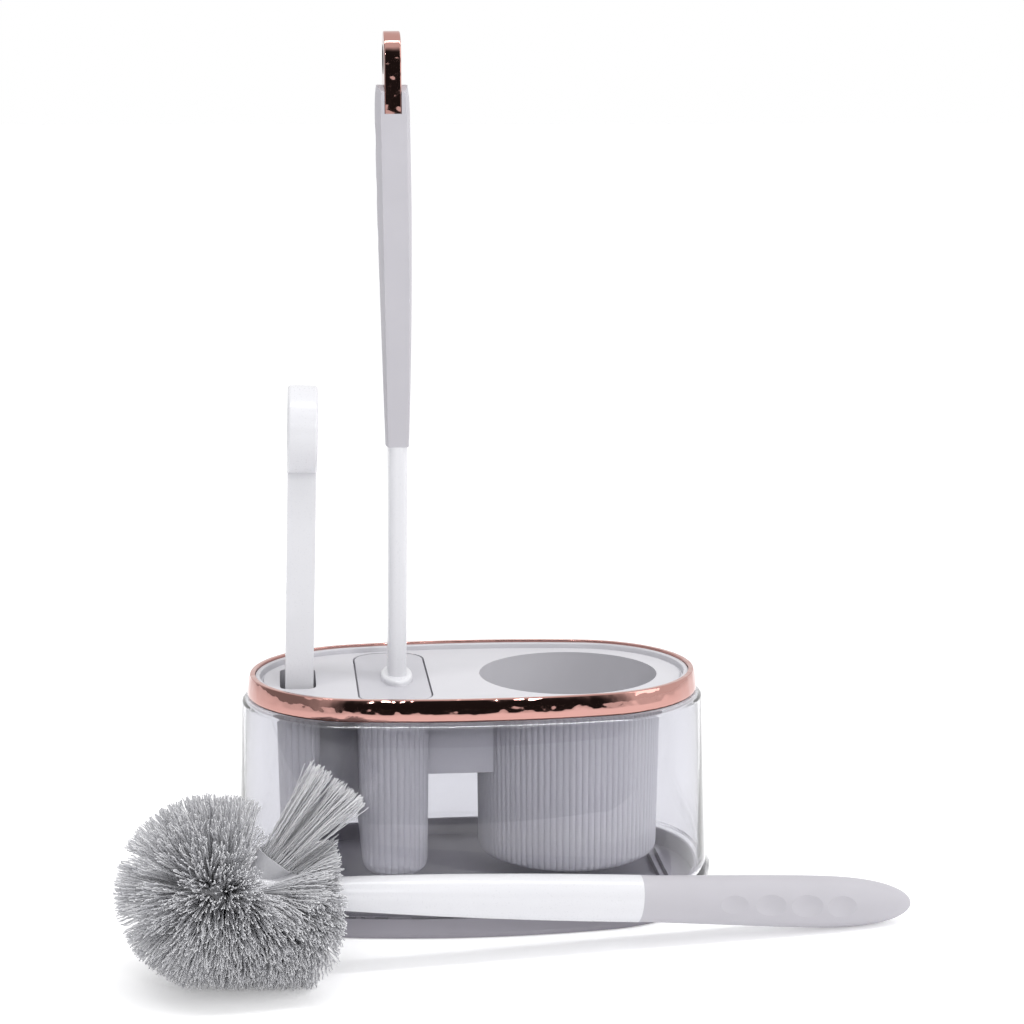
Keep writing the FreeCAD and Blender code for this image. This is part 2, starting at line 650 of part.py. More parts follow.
os.makedirs("parts", exist_ok=True)
for make in NODES:
    shape = make()
    shape.exportStep(f"parts/{make.__name__}.step")
    size = shape.BoundBox
    print(f"{make.__name__:22s} solids {len(shape.Solids):3d} valid {shape.isValid()} volume {shape.Volume:10.0f}"
          f"  x {size.XMin:7.1f} {size.XMax:7.1f}  y {size.YMin:7.1f} {size.YMax:7.1f}"
          f"  z {size.ZMin:6.1f} {size.ZMax:6.1f}")
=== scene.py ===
# %% [markdown]
# A bathroom brush caddy for a toilet set: a clear oval holder with a plated rim and a lift-out tray,
# a narrow brush and a flat brush standing in it, and a round bristle brush lying in front.
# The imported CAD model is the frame. It holds every size, and this file gives the set its looks.

# %% Load the frame
import math

import bmesh
import bpy
import numpy as np
from mathutils import Matrix, Vector


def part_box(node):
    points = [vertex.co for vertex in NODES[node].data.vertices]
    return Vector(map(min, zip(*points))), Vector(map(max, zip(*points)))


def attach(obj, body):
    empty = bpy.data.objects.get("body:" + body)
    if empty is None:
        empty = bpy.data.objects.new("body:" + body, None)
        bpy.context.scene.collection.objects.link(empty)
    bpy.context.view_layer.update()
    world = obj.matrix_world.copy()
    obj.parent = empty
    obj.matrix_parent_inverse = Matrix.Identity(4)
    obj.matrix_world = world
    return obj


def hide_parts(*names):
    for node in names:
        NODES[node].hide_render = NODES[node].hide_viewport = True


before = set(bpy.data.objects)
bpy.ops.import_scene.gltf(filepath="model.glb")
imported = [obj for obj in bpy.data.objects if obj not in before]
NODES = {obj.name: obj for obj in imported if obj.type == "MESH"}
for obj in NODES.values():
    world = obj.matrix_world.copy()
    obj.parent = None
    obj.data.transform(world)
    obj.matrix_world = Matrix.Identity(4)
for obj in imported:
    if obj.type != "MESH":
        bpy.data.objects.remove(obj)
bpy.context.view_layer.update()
MM = 0.001
draw = np.random.default_rng(7)
print("frame nodes", len(NODES))

# %% [markdown]
# The camera comes first, because every later choice of detail depends on how large a piece shows.
# It stands a little over a metre away, just left of the middle, and looks slightly down and to the right.
# A long lens keeps the two upright handles nearly parallel.

# %% Camera
CAMERA_PLACE = Vector((-0.0953, -1.1564, 0.3963))
CAMERA_YAW = 0.099
CAMERA_PITCH = 0.173
SENSOR_WIDTH_MM = 36.0
LENS_MM = 84.375
camera_data = bpy.data.cameras.new("camera")
camera_data.sensor_width = SENSOR_WIDTH_MM
camera_data.lens = LENS_MM
camera = bpy.data.objects.new("camera", camera_data)
camera.location = CAMERA_PLACE
camera.rotation_euler = (math.pi / 2 - CAMERA_PITCH, 0, -CAMERA_YAW)
bpy.context.scene.collection.objects.link(camera)
bpy.context.scene.camera = camera
print("camera distance in metres", round(CAMERA_PLACE.length, 2))

# %% [markdown]
# Every material is a small node tree. Colours are written as the hex values that a paint or plastic
# supplier would give, and one function turns them into the linear values that the renderer works in.
# A second function adds any node with its settings and links, so that a tree reads as a short list.

# %% Material helpers
def colour(hex_value):
    """Linear RGBA of an sRGB hex colour."""
    channels = [int(hex_value[i:i + 2], 16) / 255 for i in (1, 3, 5)]
    linear = [c / 12.92 if c <= 0.04045 else ((c + 0.055) / 1.055) ** 2.4 for c in channels]
    return (*linear, 1.0)


def add_node(tree, kind, settings=None, **inputs):
    """Add a node, set its properties, then set or link each input, by name or by number as in i0."""
    node = tree.nodes.new(kind)
    for name, value in (settings or {}).items():
        setattr(node, name, value)
    for name, value in inputs.items():
        numbered = name[0] == "i" and name[1:].isdigit()
        socket = node.inputs[int(name[1:]) if numbered else name.replace("_", " ")]
        if isinstance(value, bpy.types.NodeSocket):
            tree.links.new(value, socket)
        else:
            socket.default_value = value
    return node


def new_material(name):
    """Empty node material: its tree and output."""
    material = bpy.data.materials.new(name)
    material.use_nodes = True
    tree = material.node_tree
    tree.nodes.clear()
    output = tree.nodes.new("ShaderNodeOutputMaterial")
    return material, tree, output


# %% [markdown]
# Most of the set is injection-moulded plastic or rubber: polypropylene for the trays, ABS for the white
# handles, soft-touch rubber for the grips. One colour and one roughness would look like paint, so the
# colour drifts slowly across a piece and a fine grain breaks up the gloss, as a mould's surface does.
# The real grain is finer than the half millimetre used here, which is as coarse as it needs to show.

# %% Moulded plastics
MOTTLE_MM = 18
GLOSSIER = 0.05
DULLER = 0.07
PLASTIC_IOR = 1.49


def moulded(name, hex_colour, darker, roughness, grain_mm, bump_mm, coat=0.0):
    """Injection-moulded plastic: a slow colour drift, a fine mould texture and uneven gloss."""
    material, tree, output = new_material(name)
    place = add_node(tree, "ShaderNodeTexCoord").outputs["Object"]
    drift = add_node(tree, "ShaderNodeTexNoise", Vector=place, Scale=1 / (MOTTLE_MM * MM), Detail=2.0)
    grain = add_node(tree, "ShaderNodeTexNoise", Vector=place, Scale=1 / (grain_mm * MM), Detail=3.0)
    tint = add_node(tree, "ShaderNodeMix", {"data_type": "RGBA"}, i0=drift.outputs["Fac"],
                    i6=colour(hex_colour), i7=colour(darker))
    gloss = add_node(tree, "ShaderNodeMapRange", Value=grain.outputs["Fac"],
                     To_Min=roughness - GLOSSIER, To_Max=roughness + DULLER)
    bump = add_node(tree, "ShaderNodeBump", Height=grain.outputs["Fac"], Distance=bump_mm * MM, Strength=1.0)
    shader = add_node(tree, "ShaderNodeBsdfPrincipled", Base_Color=tint.outputs[2],
                      Roughness=gloss.outputs["Result"], Normal=bump.outputs["Normal"],
                      Coat_Weight=coat, Coat_Roughness=0.12, IOR=PLASTIC_IOR)
    tree.links.new(shader.outputs[0], output.inputs["Surface"])
    return material


# Light grey tray: an even satin that keeps the flutes' shading soft.
grey_tray = moulded("light_grey_polypropylene", "#C7C6CB", "#C1C0C5", 0.42, 0.5, 0.006)
# The cap is one shade darker, so that it reads as a piece of its own in the deck.
grey_cap = moulded("mid_grey_polypropylene", "#BBBAC0", "#B5B4BA", 0.45, 0.5, 0.006)
# The base is the darkest moulding, which makes the clear wall stand out from it.
grey_base = moulded("base_grey_polypropylene", "#96939B", "#8F8C94", 0.40, 0.6, 0.008)
# White ABS is glossier and has a clean highlight along the handles.
white_handle = moulded("white_abs", "#D7D7DB", "#D3D3D7", 0.28, 0.8, 0.004, coat=0.25)
# Grip rubber is matt: its highlights are broad and faint.
soft_grip = moulded("soft_touch_grip_rubber", "#B6B4BA", "#B0AEB4", 0.60, 0.35, 0.012)
# Silicone has a little more shine than the grips.
soft_head = moulded("silicone_pad_rubber", "#A9A8AD", "#A2A1A6", 0.55, 0.5, 0.01)
# The feet are dull, and hardly seen.
pad_rubber = moulded("pad_rubber", "#8A898D", "#828185", 0.7, 0.5, 0.02)
MOULDED = (grey_tray, grey_cap, grey_base, white_handle, soft_grip, soft_head, pad_rubber)
print("moulded materials", len(MOULDED))

# %% [markdown]
# The rim and the hanging loop are plastic with a rose-gold metal film. The film is a true mirror, but it
# follows every faint ripple of the moulding under it, and that is what breaks the reflections into
# streaks. A ripple about nine millimetres long does this, with a finer haze in the gloss.

# %% Plated metal and wire
RIPPLE_MM = 9
RIPPLE_DEPTH_MM = 0.45
HAZE_MM = 3


def plated(name, hex_colour, roughness):
    """Vacuum-plated plastic: a mirror with the faint ripple that the moulding under it leaves."""
    material, tree, output = new_material(name)
    place = add_node(tree, "ShaderNodeTexCoord").outputs["Object"]
    ripple = add_node(tree, "ShaderNodeTexNoise", Vector=place, Scale=1 / (RIPPLE_MM * MM), Detail=1.5)
    haze = add_node(tree, "ShaderNodeTexNoise", Vector=place, Scale=1 / (HAZE_MM * MM), Detail=2.0)
    gloss = add_node(tree, "ShaderNodeMapRange", Value=haze.outputs["Fac"],
                     To_Min=roughness * 0.6, To_Max=roughness * 1.4)
    bump = add_node(tree, "ShaderNodeBump", Height=ripple.outputs["Fac"], Distance=RIPPLE_DEPTH_MM * MM,
                    Strength=1.0)
    shader = add_node(tree, "ShaderNodeBsdfPrincipled", Base_Color=colour(hex_colour), Metallic=1.0,
                      Roughness=gloss.outputs["Result"], Normal=bump.outputs["Normal"])
    tree.links.new(shader.outputs[0], output.inputs["Surface"])
    return material


# Rose gold: pink where it mirrors the bright room, almost black where it mirrors the dark side.
rose_gold = plated("rose_gold_plated_abs", "#C0928A", 0.05)
# The tufts' anchors are short bits of dull wire.
steel_wire = plated("galvanised_steel_wire", "#B8B9BC", 0.25)
print("plated and wire finishes", rose_gold.name, steel_wire.name)

# %% [markdown]
# The holder's wall is clear plastic. Ray-traced through and through, it would hold back the lamps'
# light and leave its inside dark, so shadow rays see a plain transparent film instead. Polystyrene
# has an index of 1.59, but an even wall hardly shifts what stands behind it, so a lower index is used
# and a coat brings back the gloss.

# %% Clear plastic
WALL_IOR = 1.16


def clear_plastic(name):
    """Clear polystyrene. Lamp light passes straight through, so what stands inside stays bright."""
    material, tree, output = new_material(name)
    glass = add_node(tree, "ShaderNodeBsdfPrincipled", Base_Color=colour("#E2E2E6"), Roughness=0.02,
                     IOR=WALL_IOR, Transmission_Weight=1.0, Coat_Weight=1.0, Coat_Roughness=0.02)
    passing = add_node(tree, "ShaderNodeBsdfTransparent", Color=colour("#F4F4F6"))
    path = add_node(tree, "ShaderNodeLightPath")
    mix = add_node(tree, "ShaderNodeMixShader", i0=path.outputs["Is Shadow Ray"], i1=glass.outputs[0],
                   i2=passing.outputs[0])
    tree.links.new(mix.outputs[0], output.inputs["Surface"])
    return material


clear_shell_plastic = clear_plastic("clear_polystyrene")
print("clear plastic index", WALL_IOR)

# %% [markdown]
# The bristles are crimped nylon. Light catches each fibre at its own angle, so a tuft never has one
# grey. Each fibre is an island of the mesh, and its random number picks a shade between two greys.

# %% Bristle nylon
NYLON_IOR = 1.53


def fibre_material(name, light, dark, roughness):
    """Crimped nylon fibre: each one a slightly different grey."""
    material, tree, output = new_material(name)
    each = add_node(tree, "ShaderNodeNewGeometry").outputs["Random Per Island"]
    tint = add_node(tree, "ShaderNodeMix", {"data_type": "RGBA"}, i0=each, i6=colour(light), i7=colour(dark))
    shader = add_node(tree, "ShaderNodeBsdfPrincipled", Base_Color=tint.outputs[2], Roughness=roughness,
                      IOR=NYLON_IOR)
    tree.links.new(shader.outputs[0], output.inputs["Surface"])
    return material


nylon = fibre_material("crimped_nylon_fibre", "#F1F1F3", "#CFCFD3", 0.38)
print("bristle material", nylon.name)

# %% [markdown]
# Fifteen pieces keep their CAD shape: trays, handles, grips and the loop have all their rounds and
# dimples already. They only need their finish, so each node's name is paired with a material.

# %% Finishes of the CAD pieces
FINISHES = {
    "base_tray": grey_base, "anti_slip_pads": pad_rubber,
    "insert_tray": grey_tray, "flat_brush_cap": grey_cap,
    "flat_brush_core": white_handle, "flat_brush_head": soft_head, "flat_brush_shaft": white_handle,
    "flat_brush_grip": soft_grip, "hanging_loop": rose_gold, "slot_brush_handle": white_handle,
    "slot_brush_staples": steel_wire, "tuft_staples": steel_wire, "round_brush_hub": white_handle,
    "round_brush_shaft": white_handle, "round_brush_grip": soft_grip,
}
for node, finish in FINISHES.items():
    NODES[node].data.materials.clear()
    NODES[node].data.materials.append(finish)
print("finished CAD pieces", len(FINISHES))

# %% [markdown]
# The plated ring and the clear wall both follow one oval made of four arcs. Each is drawn as a section
# and spun about every arc's centre in turn, which is how the mould itself would be turned. That keeps
# the long reflections clean, where a drawn outline would wobble.

# %% Oval of the ring
RING_END_RADIUS = 60.5 * MM


def oval_arcs():
    """Centre, radius, start angle and sweep of the four arcs of the ring's outer edge."""
    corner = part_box("trim_ring")[1]
    half_length = corner[0]
    half_width = corner[1]
    end_radius = RING_END_RADIUS
    side_radius = ((half_length * half_length + half_width * half_width - 2 * half_length * end_radius)
                   / (2 * (half_width - end_radius)))
    half = math.atan2(half_length - end_radius, side_radius - half_width)
    return [
        (Vector((half_length - end_radius, 0, 0)), end_radius, half - math.pi / 2, math.pi - 2 * half),
        (Vector((0, half_width - side_radius, 0)), side_radius, math.pi / 2 - half, 2 * half),
        (Vector((end_radius - half_length, 0, 0)), end_radius, half + math.pi / 2, math.pi - 2 * half),
        (Vector((0, side_radius - half_width, 0)), side_radius, 1.5 * math.pi - half, 2 * half),
    ]


print("arcs of the oval in mm", [round(radius / MM, 1) for centre, radius, start, sweep in oval_arcs()])

# %% [markdown]
# Each arc's end meets the next one's start, so the four spun strips are joined by merging doubles. Only
# then are the normals set and the section's corners bevelled, because a bevel needs whole edges.

# %% Oval sections
ARC_STEPS = 56
MERGE_MM = 0.02
CORNER_ANGLE = 0.45
SMOOTH_ANGLE = math.radians(40)


def made(name, bm):
    """Mesh object from a bmesh, smooth except at sharp edges."""
    mesh = bpy.data.meshes.new(name)
    bm.to_mesh(mesh)
    bm.free()
    mesh.shade_smooth()
    mesh.set_sharp_from_angle(angle=SMOOTH_ANGLE)
    obj = bpy.data.objects.new(name, mesh)
    bpy.context.scene.collection.objects.link(obj)
    return obj


def oval_piece(name, section, bevel_mm):
    """Closed section of (out, z) points in millimetres, spun round the oval and bevelled."""
    bm = bmesh.new()
    for centre, radius, start, sweep in oval_arcs():
        way = Vector((math.cos(start), math.sin(start), 0))
        ring = [bm.verts.new(centre + way * (radius + out * MM) + Vector((0, 0, z * MM)))
                for out, z in section]
        edges = [bm.edges.new((ring[i - 1], ring[i])) for i in range(len(ring))]
        bmesh.ops.spin(bm, geom=ring + edges, cent=centre, axis=(0, 0, 1), angle=sweep, steps=ARC_STEPS)
    bmesh.ops.remove_doubles(bm, verts=bm.verts, dist=MERGE_MM * MM)
    bmesh.ops.recalc_face_normals(bm, faces=bm.faces)
    sharp = [edge for edge in bm.edges
             if len(edge.link_faces) == 2 and edge.calc_face_angle() > CORNER_ANGLE]
    bmesh.ops.bevel(bm, geom=sharp, offset=bevel_mm * MM, segments=3, profile=0.5, affect="EDGES",
                    material=-1)
    return made(name, bm)


def join_up(obj, material, body, slot, *nodes):
    """Give a piece its material and its body, and hide the CAD nodes that it stands for. The slot is not
    used.
    """
    obj.data.materials.append(material)
    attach(obj, body)
    if nodes:
        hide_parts(*nodes)
    print(obj.name, "faces", len(obj.data.polygons))


# %% [markdown]
# The plated ring sits on the tray's edge. Its foot turns in and mirrors the pale floor, and above that
# the face leans in more and more and mirrors the dark side of the room. A flat face would mirror only
# one of them. The section's points are distances out from the ring's edge, and heights.

# %% Plated ring
RING_BEVEL_MM = 0.22
ring_low, ring_high = (corner[2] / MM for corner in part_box("trim_ring"))
RING_SECTION = [
    (-0.6, ring_low), (-0.1, ring_low + 0.9), (0, ring_low + 1.7), (-0.28, ring_low + 4.2),
    (-0.6, ring_low + 6.5), (-0.92, ring_low + 8.4), (-1.5, ring_high - 0.25), (-1.8, ring_high),
    (-4.0, ring_high), (-4.0, ring_high - 2), (-2.2, ring_high - 2), (-2.0, ring_low),
]
join_up(oval_piece("ring_visual", RING_SECTION, RING_BEVEL_MM), rose_gold, "insert", "rose_gold_plating",
        "trim_ring")

# %% [markdown]
# The clear wall is a closed skin, because light has to go in through one face and out through the
# other. Its shoulder is rounded by the bevel, so that it catches one crisp line of light.

# %% Clear wall
WALL_BEVEL_MM = 0.35
wall_low, wall_high = (corner[2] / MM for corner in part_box("clear_shell"))
WALL_SECTION = [
    (3.2, wall_low), (7.6, wall_low), (8.0, wall_low + 0.6), (8.0, wall_low + 4.2), (7.2, wall_low + 5.6),
    (5.6, wall_low + 7.2), (2.6, wall_high - 2.3), (2.45, wall_high - 1.9), (0.75, wall_high - 0.3),
    (0.2, wall_high), (-2.2, wall_high), (-2.2, wall_high - 1.5), (0.6, wall_high - 1.9),
    (4.1, wall_low + 7.0),
]
join_up(oval_piece("wall_visual", WALL_SECTION, WALL_BEVEL_MM), clear_shell_plastic, "holder",
        "clear_plastic", "clear_shell")

# %% [markdown]
# A bristle is a nylon fibre with a crimp pressed into its outer part. Hair particles would not export as
# a mesh, so each fibre is a short poly line with a three-sided section swept along it, which is enough
# at half a millimetre thick. Real fibres are thinner and more of them fill a head. These are drawn as
# thick as they need to be to show one by one.

# %% Bristle lines
FLOOR_GAP = 0.0004
LIE_HEIGHT = 1.2 * MM
BEND = 1.1 * MM
STEP_JITTER = 0.45
WAVE_RANGE = (0.6, 1.3)
SAG_TURN = 2.6


def fibre_lines(roots, tips, crimp_from, wave_mm, steps):
    """Points of crimped fibres from roots to tips, both N x 3 in metres: straight, then zigzag."""
    count = len(roots)
    along = np.tile(np.concatenate([[0.0], np.linspace(crimp_from, 1.0, steps)]), (count, 1))
    along[:, 1:-1] += draw.uniform(-STEP_JITTER, STEP_JITTER, (count, steps - 1)) * (1 - crimp_from) / steps
    way = tips - roots
    side = np.cross(way, draw.normal(size=(count, 3)))
    side /= np.linalg.norm(side, axis=1)[:, None]
    sag = np.cross(way, side)
    sag /= np.linalg.norm(sag, axis=1)[:, None]
    bend = draw.normal(0, BEND, size=(count, 1, 1))
    wave = wave_mm * MM * draw.uniform(*WAVE_RANGE, size=(count, 1, 1))
    swing = np.where(np.arange(steps + 1) % 2, 1.0, -1.0) * (np.arange(steps + 1) > 0)
    points = roots[:, None] + way[:, None] * along[..., None]
    points = points + side[:, None] * swing[None, :, None] * wave
    points = points + sag[:, None] * (np.sin(along * SAG_TURN) ** 2)[..., None] * bend
    # Fibres that would go through the floor lie down on it at slightly different heights.
    lowest = FLOOR_GAP + draw.uniform(0, LIE_HEIGHT, size=points.shape[:2])
    points[..., 2] = np.maximum(points[..., 2], lowest)
    return points


print("fibre lines stay at least", FLOOR_GAP / MM, "mm above the floor")

# %% [markdown]
# The lines become one curve object, its bevel object is a triangle, and the filled result is taken over
# as a mesh. The curve and the triangle are removed again, so that only the mesh is left in the scene.

# %% Bristle maker
FIBRE_SIDES = 3


def fibre_section(name, thick_mm):
    """Three-sided outline that is swept along every fibre."""
    section = bpy.data.curves.new(name + "_section", "CURVE")
    outline = section.splines.new("POLY")
    outline.points.add(FIBRE_SIDES - 1)
    outline.use_cyclic_u = True
    for index, point in enumerate(outline.points):
        turn = 2 * math.pi * index / FIBRE_SIDES
        point.co = (0.5 * thick_mm * MM * math.cos(turn), 0.5 * thick_mm * MM * math.sin(turn), 0, 1)
    return bpy.data.objects.new(name + "_section", section)


def fibres(name, roots, tips, crimp_from, thick_mm=0.62, wave_mm=0.26, steps=12):
    """Crimped fibres from roots to tips, both N x 3 in metres, as one mesh."""
    curve = bpy.data.curves.new(name, "CURVE")
    curve.dimensions = "3D"
    for row in fibre_lines(roots, tips, crimp_from, wave_mm, steps):
        spline = curve.splines.new("POLY")
        spline.points.add(steps)
        spline.points.foreach_set("co", np.c_[row, np.ones(len(row))].ravel())
    section = fibre_section(name, thick_mm)
    curve.bevel_mode = "OBJECT"
    curve.bevel_object = section
    curve.use_fill_caps = True
    drawn = bpy.data.objects.new(name + "_drawn", curve)
    bpy.context.scene.collection.objects.link(drawn)
    mesh = bpy.data.meshes.new_from_object(drawn.evaluated_get(bpy.context.evaluated_depsgraph_get()))
    mesh.name = name
    for used in (drawn, section):
        bpy.data.objects.remove(used)
    obj = bpy.data.objects.new(name, mesh)
    bpy.context.scene.collection.objects.link(obj)
    return obj


# %% [markdown]
# A tuft is a bundle of fibres stapled into one hole. They leave it packed together and fan out until
# they meet their neighbours. Each fibre gets an even random place in a disc, and the same place sets how
# far it leans. The head is cut roughly flat on the handle's side, so the fibres there are shorter.

# %% Tuft maker
HEAD_FACE = 51 * MM
HOLE_REACH = 1.3 * MM
HOLE_DEPTH = 1.0 * MM


def tuft_fibres(root, out, count, spread, length):
    """Roots and tips of one tuft: packed in its hole, then fanned out evenly."""
    out = out / np.linalg.norm(out)
    across = np.cross(out, [0.31, 0.52, 0.79])
    across /= np.linalg.norm(across)
    up = np.cross(out, across)
    turn = draw.uniform(0, 2 * math.pi, count)
    reach = np.sqrt(draw.uniform(0, 1, count))
    disc = np.cos(turn)[:, None] * across + np.sin(turn)[:, None] * up
    fan = out + disc * (reach * spread)[:, None]
    fan /= np.linalg.norm(fan, axis=1)[:, None]
    roots = root + disc * (reach * HOLE_REACH)[:, None] - out * HOLE_DEPTH
    reach = length * draw.uniform(0.97, 1.03, count)
    to_face = (HEAD_FACE - roots[:, 0]) / np.maximum(fan[:, 0], 0.01)
    return roots, roots + fan * np.minimum(reach, to_face * draw.uniform(0.9, 1.05, count))[:, None]


def in_room(points, matrix):
    """Points of a brush's own frame where the brush lies or stands."""
    return points @ np.array(matrix.to_3x3()).T + np.array(matrix.translation)


print("head is cut at", HEAD_FACE / MM, "mm from its centre")

# %% [markdown]
# The round head is built the way a brush machine fills it: rings of holes along the hub and a few tufts
# on the domed end. The fibres are cut to one length, so the head's outline follows from the hub. No tuft
# is set where the slanted cup stands, and the tufts beside it are pushed over towards the handle. The
# three lists say how far each ring leans along the brush, for its upper, middle and lower tufts.

# %% Places of the round head's tufts
HEAD = (Matrix.Translation((-0.124, -0.118, 0.0435)) @ Matrix.Rotation(math.radians(8.9), 4, "Z")
        @ Matrix.Rotation(math.radians(5.9), 4, "Y"))
HUB_RADIUS = 9.5 * MM
HUB_RINGS = 7
FIRST_RING_MM = -6.0
RING_PITCH_MM = 8.0
RING_TUFTS = 10
RING_TURN = 36
RING_STAGGER = 18
DOME_TUFTS = 6
DOME_TURN = 60
DOME_FLARE = 0.95
DOME_CENTRE = -5 * MM
DOME_RADIUS_MM = 8.6
HUB_END = -13 * MM
CUP_FROM = 4 * MM
CUP_TO = 34 * MM
CUP_HEIGHT = 0.55
UPPER_FROM = 0.25
MIDDLE_FROM = -0.35
UPPER_LEAN = [-0.30, 0.02, 2.0, 2.2, 2.4, 2.4, 2.0]
MIDDLE_LEAN = [-0.42, -0.12, 0.15, 0.35, 0.5, 0.4, 0.1]
LOWER_LEAN = [-0.42, -0.14, 0, 0, -0.06, -0.14, -0.24]


def tuft_lean(ring, height):
    """How far a tuft leans along the brush; height is 1 at the top of the hub and -1 below it."""
    if height > UPPER_FROM:
        return UPPER_LEAN[ring]
    return MIDDLE_LEAN[ring] if height > MIDDLE_FROM else LOWER_LEAN[ring]


def hub_tufts():
    """Root and direction of every tuft in the brush's own frame."""
    tufts = []
    for ring in range(HUB_RINGS):
        x = (FIRST_RING_MM + RING_PITCH_MM * ring) * MM
        for index in range(RING_TUFTS):
            turn = math.radians(RING_TURN * index + RING_STAGGER * (ring % 2))
            out = np.array([0.0, math.cos(turn), math.sin(turn)])
            if not (CUP_FROM < x < CUP_TO and out[2] > CUP_HEIGHT):
                tufts.append((np.array([x, 0, 0]) + out * HUB_RADIUS,
                              out + np.array([tuft_lean(ring, out[2]), 0, 0])))
    for index in range(DOME_TUFTS):
        turn = math.radians(DOME_TURN * index)
        out = np.array([-1, DOME_FLARE * math.cos(turn), DOME_FLARE * math.sin(turn)])
        out /= np.linalg.norm(out)
        tufts.append((np.array([DOME_CENTRE, 0, 0]) + out * DOME_RADIUS_MM * MM, out))
    tufts.append((np.array([HUB_END, 0, 0]), np.array([-1.0, 0, 0])))
    return tufts


print("tufts in the round head", len(hub_tufts()))

# %% [markdown]
# Nearly eight thousand fibres would make one very large piece, so they are drawn in batches. Every
# batch rides with the brush, and the first one stands for the CAD model's solid head.

# %% Round head
TUFT_FIBRES = 120
TUFT_SPREAD = 0.36
FIBRE_LENGTH = 34.2 * MM
CRIMP_FROM = 0.36
BATCH = 2500
grown = [tuft_fibres(root, out, TUFT_FIBRES, TUFT_SPREAD, FIBRE_LENGTH) for root, out in hub_tufts()]
head_roots = in_room(np.concatenate([roots for roots, tips in grown]), HEAD)
head_tips = in_room(np.concatenate([tips for roots, tips in grown]), HEAD)
for number, first in enumerate(range(0, len(head_roots), BATCH)):
    part = slice(first, first + BATCH)
    batch = fibres(f"head_bristles_{number}", head_roots[part], head_tips[part], CRIMP_FROM)
    join_up(batch, nylon, "round_brush", "grey_bristle", *(["round_brush_bristles"] if number == 0 else []))
print("fibres in the round head", len(head_roots))

# %% [markdown]
# The tuft for under the rim comes out of the slanted cup. Its fibres run almost straight and side by
# side, widening from the cup's mouth to a cut end, so they need less wave and a thinner section. They
# are scattered over a rectangle, because the cup's mouth is longer than it is wide.

# %% Under-rim tuft
CUP = HEAD @ Matrix.Translation((0.013, 0, 0)) @ Matrix.Rotation(math.radians(34), 4, "Y")
RIM_FIBRES = 260
RIM_ROOT_MM = 12.5
RIM_TIP_MM = 63.6
spot = draw.uniform(-1, 1, size=(RIM_FIBRES, 2))
rim_roots = np.c_[spot[:, 0] * 5.4, spot[:, 1] * 4.0, np.full(RIM_FIBRES, RIM_ROOT_MM)] * MM
rim_along = spot[:, 0] * 15 + 1.6 + draw.normal(0, 1.0, RIM_FIBRES)
rim_across = spot[:, 1] * 8.6 + draw.normal(0, 0.5, RIM_FIBRES)
rim_reach = RIM_TIP_MM + draw.uniform(-2.6, 1.6, RIM_FIBRES)
rim_tips = np.c_[rim_along, rim_across, rim_reach] * MM
rim_tuft = fibres("rim_bristles", in_room(rim_roots, CUP), in_room(rim_tips, CUP), 0.2, wave_mm=0.16,
                  thick_mm=0.55, steps=16)
join_up(rim_tuft, nylon, "round_brush", "grey_bristle", "rim_brush_bristles")

# %% [markdown]
# The narrow brush stands in its well and hardly shows. Its ten tufts are short and plain, in two rows
# of five, and the same two makers draw them. The whole brush leans a little along the oval.

# %% Narrow brush tufts
LEAN = (Matrix.Translation((-0.086, 0, 0.1116)) @ Matrix.Rotation(math.radians(1.6), 4, "Y")
        @ Matrix.Translation((0, 0, -0.1116)))
SLOT_TUFT_FIBRES = 60
SLOT_TUFT_SPREAD = 0.06
SLOT_TUFT_TOP_MM = 46
SLOT_FIBRE_LENGTH = 11.4 * MM
slot_places = [(x, y) for x in (-2.5, 2.5) for y in (-11, -5.5, 0, 5.5, 11)]
grown = [tuft_fibres(np.array([x, y, SLOT_TUFT_TOP_MM]) * MM, np.array([0.02 * x, 0.012 * y, -1]),
                     SLOT_TUFT_FIBRES, SLOT_TUFT_SPREAD, SLOT_FIBRE_LENGTH) for x, y in slot_places]
slot_roots = in_room(np.concatenate([roots for roots, tips in grown]), LEAN)
slot_tips = in_room(np.concatenate([tips for roots, tips in grown]), LEAN)
slot_tuft = fibres("narrow_brush_bristles", slot_roots, slot_tips, 0.3, wave_mm=0.12, steps=6)
join_up(slot_tuft, nylon, "slot_brush", "grey_bristle", "slot_brush_bristles")

# %% [markdown]
# The set stands on a plain white sweep. A faint glow of its own keeps the floor pale out to the
# horizon, where the lamps no longer reach.

# %% Floor
FLOOR_HALF_SIZE = 30.0


def white_floor():
    """Large flat floor of matt white paint."""
    bm = bmesh.new()
    bmesh.ops.create_grid(bm, x_segments=1, y_segments=1, size=FLOOR_HALF_SIZE)
    mesh = bpy.data.meshes.new("floor")
    bm.to_mesh(mesh)
    bm.free()
    floor = bpy.data.objects.new("floor", mesh)
    bpy.context.scene.collection.objects.link(floor)
    material, tree, output = new_material("white_sweep")
    shader = add_node(tree, "ShaderNodeBsdfPrincipled", Base_Color=colour("#F2F2F3"), Roughness=0.9,
                      Emission_Color=(1, 1, 1, 1), Emission_Strength=0.25)
    tree.links.new(shader.outputs[0], output.inputs["Surface"])
    mesh.materials.append(material)


white_floor()
print("floor in metres", 2 * FLOOR_HALF_SIZE, "across")

# %% [markdown]
# The room is bright all round except in front of the set, where it is dark, and on the left, where it is
# dimmer. The plating needs that dark side: it is what draws the black bands along the ring. A plain
# white world would leave the ring flat pink. Each dark side is a smooth ramp on one axis of the room.

# %% Room
# Start and end of each fade along its axis, and the light level at its dark end.
FRONT_FADE = (-0.92, -0.6, 0.02)
LEFT_FADE = (-0.95, -0.45, 0.32)
WHITE = (1, 1, 1, 1)


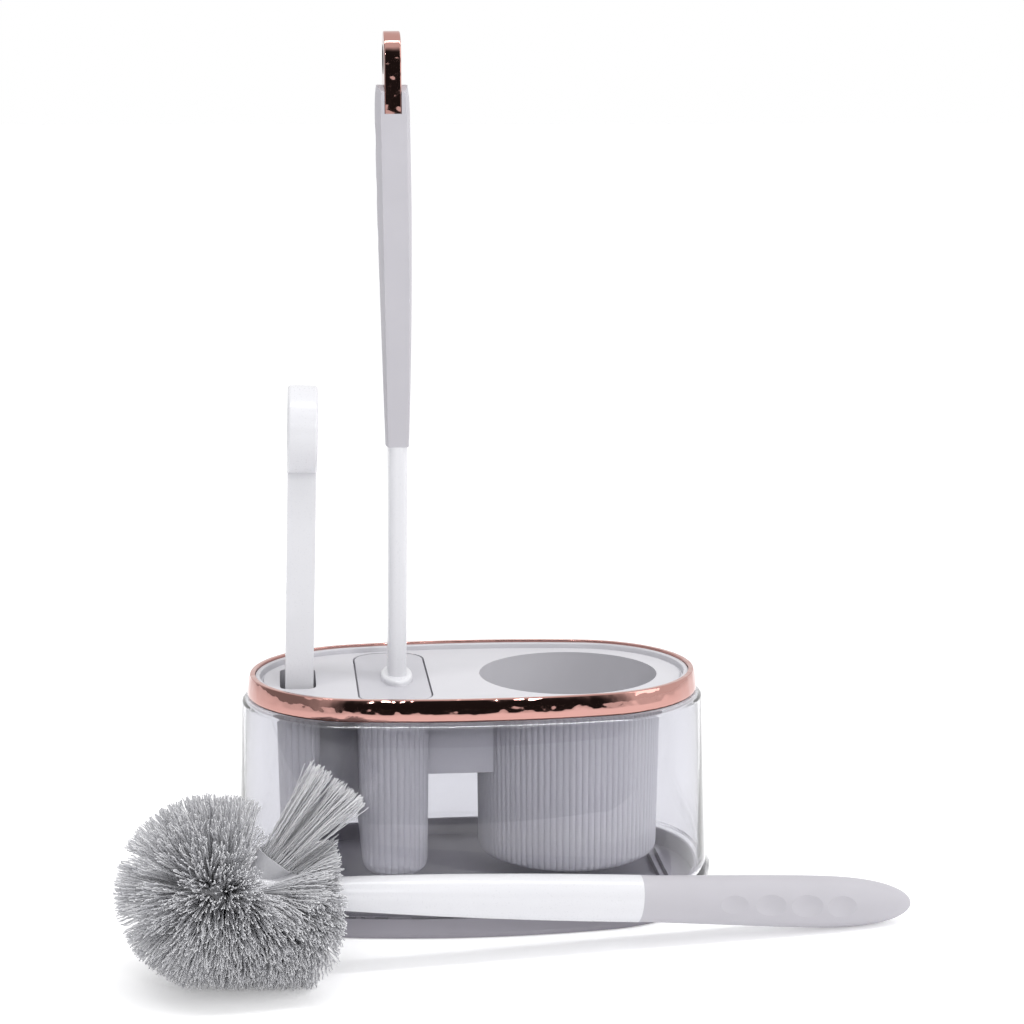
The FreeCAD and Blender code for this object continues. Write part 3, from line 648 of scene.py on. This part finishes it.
def fade(tree, axis, start, end, darkest):
    """Light level along one axis of the room, from darkest up to full white."""
    ramp = add_node(tree, "ShaderNodeMapRange", {"interpolation_type": "SMOOTHSTEP"}, Value=axis,
                    From_Min=start, From_Max=end, To_Min=darkest, To_Max=1.0)
    return ramp.outputs["Result"]


def bright_room():
    """World that is white but for its front and its left."""
    world = bpy.data.worlds.new("studio")
    bpy.context.scene.world = world
    world.use_nodes = True
    tree = world.node_tree
    tree.nodes.clear()
    output = tree.nodes.new("ShaderNodeOutputWorld")
    way = add_node(tree, "ShaderNodeTexCoord").outputs["Generated"]
    split = add_node(tree, "ShaderNodeSeparateXYZ", Vector=way)
    front = fade(tree, split.outputs["Y"], *FRONT_FADE)
    left = fade(tree, split.outputs["X"], *LEFT_FADE)
    level = add_node(tree, "ShaderNodeMath", {"operation": "MULTIPLY"}, i0=front, i1=left)
    # The dark sides only light the pieces: looked at directly, the room is white all round.
    looked_at = add_node(tree, "ShaderNodeLightPath").outputs["Is Camera Ray"]
    shown = add_node(tree, "ShaderNodeMath", {"operation": "MAXIMUM"}, i0=level.outputs["Value"],
                     i1=looked_at)
    back = add_node(tree, "ShaderNodeBackground", Color=WHITE, Strength=shown.outputs["Value"])
    tree.links.new(back.outputs[0], output.inputs["Surface"])


bright_room()
print("world", bpy.context.scene.world.name)

# %% [markdown]
# Five soft lamps shape the pieces. Two small ones in front draw the glints on the ring, the left one is
# weak so that one side stays in shade, the right one is large and fills, and a long strip above gives
# the handles and the deck their even light.

# %% Lamps
LAMPS = [
    # name, place and target in metres, width and height in metres, watts
    ("lamp_front", (0.5, -2.3, 1.15), (0, 0, 0.1), 0.18, 0.18, 8),
    ("lamp_front_left", (-0.45, -2.2, 1.0), (0, 0, 0.1), 0.12, 0.12, 3),
    ("lamp_left", (-1.5, -0.9, 1.1), (0, 0, 0.15), 0.5, 0.9, 1),
    ("lamp_right", (1.6, -0.7, 1.0), (0, 0, 0.15), 0.9, 1.2, 6),
    ("lamp_top", (0.05, -0.3, 1.4), (0.05, -0.1, 0), 1.7, 0.1, 8),
]
for name, place, target, width, height, power in LAMPS:
    data = bpy.data.lights.new(name, "AREA")
    data.shape = "RECTANGLE"
    data.size = width
    data.size_y = height
    data.energy = power
    lamp = bpy.data.objects.new(name, data)
    lamp.location = place
    lamp.rotation_euler = (Vector(target) - Vector(place)).to_track_quat("-Z", "Y").to_euler()
    bpy.context.scene.collection.objects.link(lamp)
bpy.context.scene.view_settings.view_transform = "Standard"
print("lamps", len(LAMPS))
